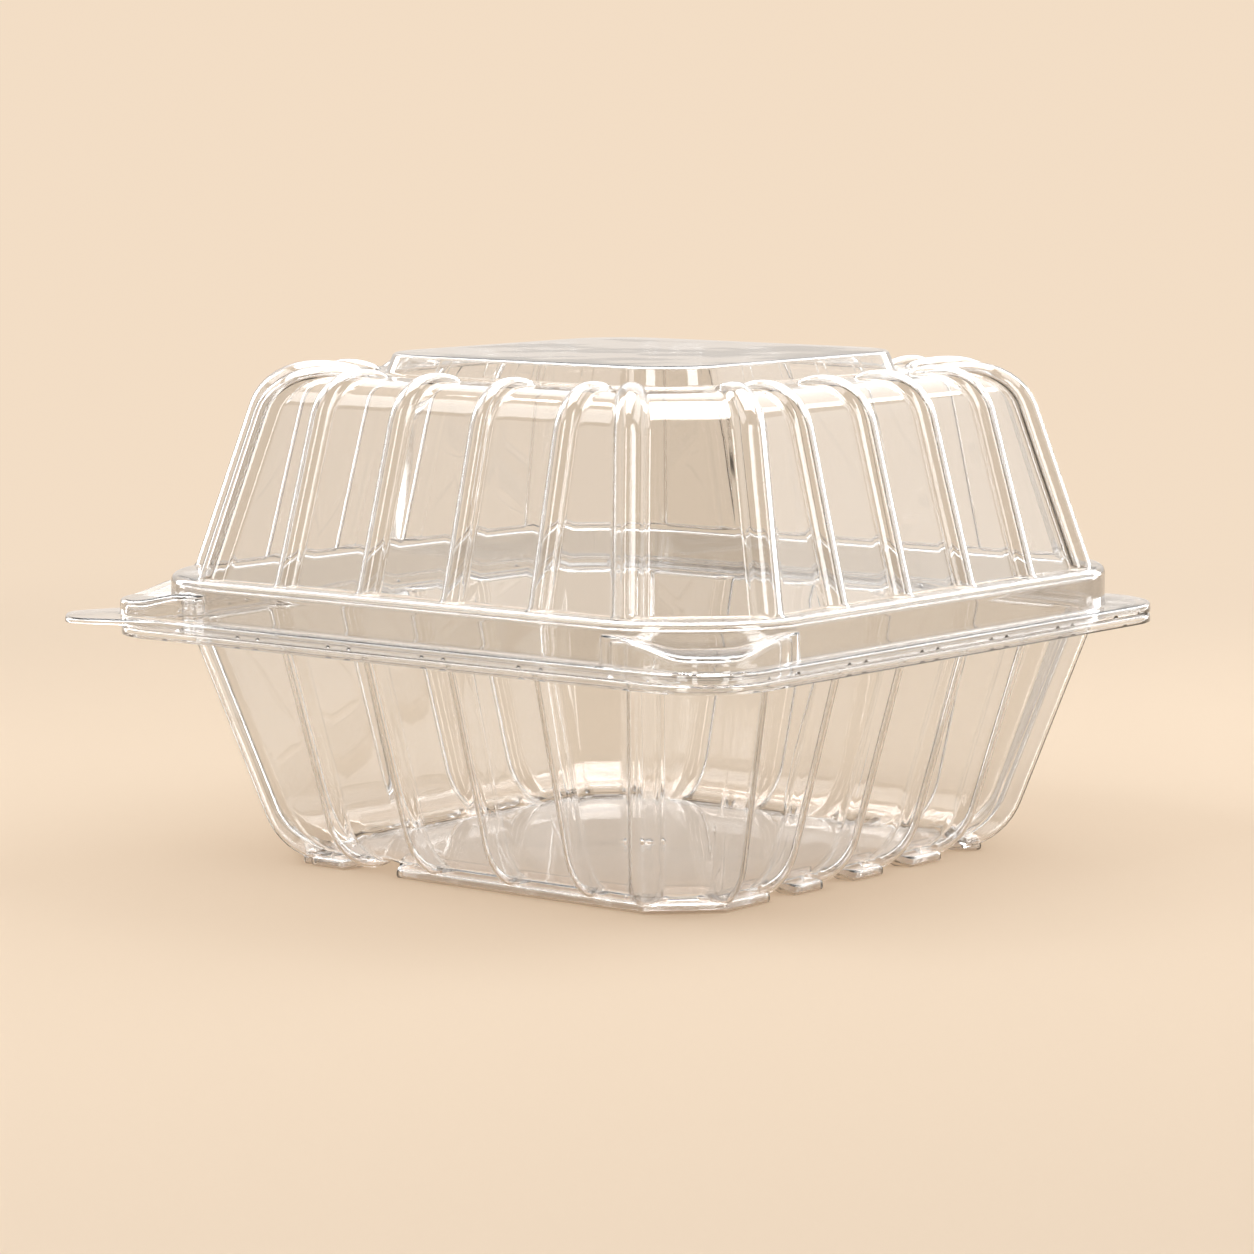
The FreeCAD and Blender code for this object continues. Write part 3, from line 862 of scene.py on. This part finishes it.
def placed(thing, sideways, forwards, distance, elevation):
    """Put a lamp or card round the pack, facing it. Forwards is towards the camera of the photo."""
    level = (Vector(across) * sideways - Vector(away) * forwards).normalized()
    rise = math.radians(elevation)
    place = (level * math.cos(rise) + Vector((0.0, 0.0, math.sin(rise)))) * distance
    turn = (-place).to_track_quat("-Z", "Y").to_matrix().to_4x4()
    thing.matrix_world = Matrix.Translation(place) @ turn


def soft_lamp(name, sideways, forwards, distance, elevation, size, brightness):
    """A rectangular lamp that lights the floor. Its brightness is that of its face, 1 being white."""
    data = bpy.data.lights.new(name, "AREA")
    data.shape = "RECTANGLE"
    data.size, data.size_y = size
    data.energy = brightness * math.pi * size[0] * size[1]
    lamp = bpy.data.objects.new(name, data)
    bpy.context.collection.objects.link(lamp)
    placed(lamp, sideways, forwards, distance, elevation)
    lamp.visible_camera = False
    lamp.visible_transmission = False
    lamp.visible_glossy = False


def white_card(name, sideways, forwards, distance, elevation, size, brightness):
    """A lit card that the sheet mirrors. It shows nowhere else."""
    material = bpy.data.materials.new(name)
    material.use_nodes = True
    material.cycles.emission_sampling = "NONE"
    nodes, links = material.node_tree.nodes, material.node_tree.links
    nodes.remove(nodes["Principled BSDF"])
    glow = nodes.new("ShaderNodeEmission")
    glow.inputs["Strength"].default_value = brightness
    clear = nodes.new("ShaderNodeBsdfTransparent")
    choice = nodes.new("ShaderNodeMixShader")
    path = nodes.new("ShaderNodeLightPath")
    links.new(mirrored_mask(nodes, links, path), choice.inputs["Fac"])
    links.new(clear.outputs["BSDF"], choice.inputs[1])
    links.new(glow.outputs["Emission"], choice.inputs[2])
    links.new(choice.outputs["Shader"], nodes["Material Output"].inputs["Surface"])
    mesh = bmesh.new()
    bmesh.ops.create_grid(mesh, x_segments=1, y_segments=1, size=0.5)
    bmesh.ops.scale(mesh, vec=(size[0], size[1], 1.0), verts=mesh.verts)
    data = bpy.data.meshes.new(name)
    mesh.to_mesh(data)
    mesh.free()
    data.materials.append(material)
    card = bpy.data.objects.new(name, data)
    bpy.context.collection.objects.link(card)
    placed(card, sideways, forwards, distance, elevation)
    card.visible_shadow = False
    card.visible_diffuse = False
    card.visible_camera = False


def make_lamps():
    """Each row: name, sideways, forwards, distance, elevation in degrees, size and brightness."""
    lamps = (("lamp right", 1.0, -0.25, 0.85, 26.0, (0.7, 0.45), 2.1),
             ("lamp left", -1.0, 0.1, 0.85, 26.0, (0.7, 0.45), 1.5),
             ("lamp high left", -1.0, 0.3, 0.9, 58.0, (0.7, 0.28), 3.6),
             ("lamp high right", 1.0, -0.3, 0.9, 58.0, (0.7, 0.28), 3.3))
    cards = (("card right", 1.0, -0.25, 0.9, 24.0, (0.70, 0.42), 1.6),
             ("card left", -1.0, 0.1, 0.9, 24.0, (0.70, 0.42), 1.2),
             ("card high right", 1.0, -0.25, 0.9, 52.0, (0.80, 0.30), 3.5),
             ("card high left", -1.0, 0.1, 0.9, 52.0, (0.80, 0.30), 3.0),
             ("card overhead", 0.0, -1.0, 1.0, 80.0, (0.9, 0.9), 8.0),
             ("card behind", 0.2, -0.98, 1.0, 34.0, (1.0, 0.50), 1.8),
             ("strip back", 0.70, -0.72, 1.1, 24.0, (0.26, 0.9), 6.5),
             ("strip right", 0.74, 0.67, 1.1, 24.0, (0.26, 0.9), 6.5),
             ("strip front", -0.40, 0.92, 1.1, 24.0, (0.22, 0.9), 6.5),
             ("strip left", -0.72, -0.70, 1.1, 24.0, (0.22, 0.9), 6.5))
    for lamp in lamps:
        soft_lamp(*lamp)
    for card in cards:
        white_card(*card)


def make_camera():
    data = bpy.data.cameras.new("camera")
    data.sensor_width = camera_sensor
    data.lens = camera_lens
    camera = bpy.data.objects.new("camera", data)
    bpy.context.collection.objects.link(camera)
    camera.location = camera_place
    camera.rotation_euler = (quarter - camera_dip, 0.0, camera_turn)
    bpy.context.scene.camera = camera


def set_rendering():
    """Enough bounces for light to pass the many walls of clear sheet."""
    scene = bpy.context.scene
    scene.view_settings.view_transform = "Standard"
    scene.cycles.max_bounces = 28
    scene.cycles.transmission_bounces = 28
    scene.cycles.glossy_bounces = 16
    scene.cycles.transparent_max_bounces = 48
    scene.cycles.caustics_reflective = False
    scene.cycles.caustics_refractive = False


ripple = ripple_group()
wall_sheet = clear_sheet("clear sheet", ripple, 28.0, 0.0, 0.03, 0.10, (0.90, 0.90, 0.90))
fold_sheet = clear_sheet("folded sheet", ripple, 90.0, 0.05, 0.25, 0.30, (0.98, 0.98, 0.98))
make_lid(wall_sheet)
make_tub(wall_sheet)
make_web(fold_sheet)
make_floor()
make_world()
make_lamps()
make_camera()
set_rendering()
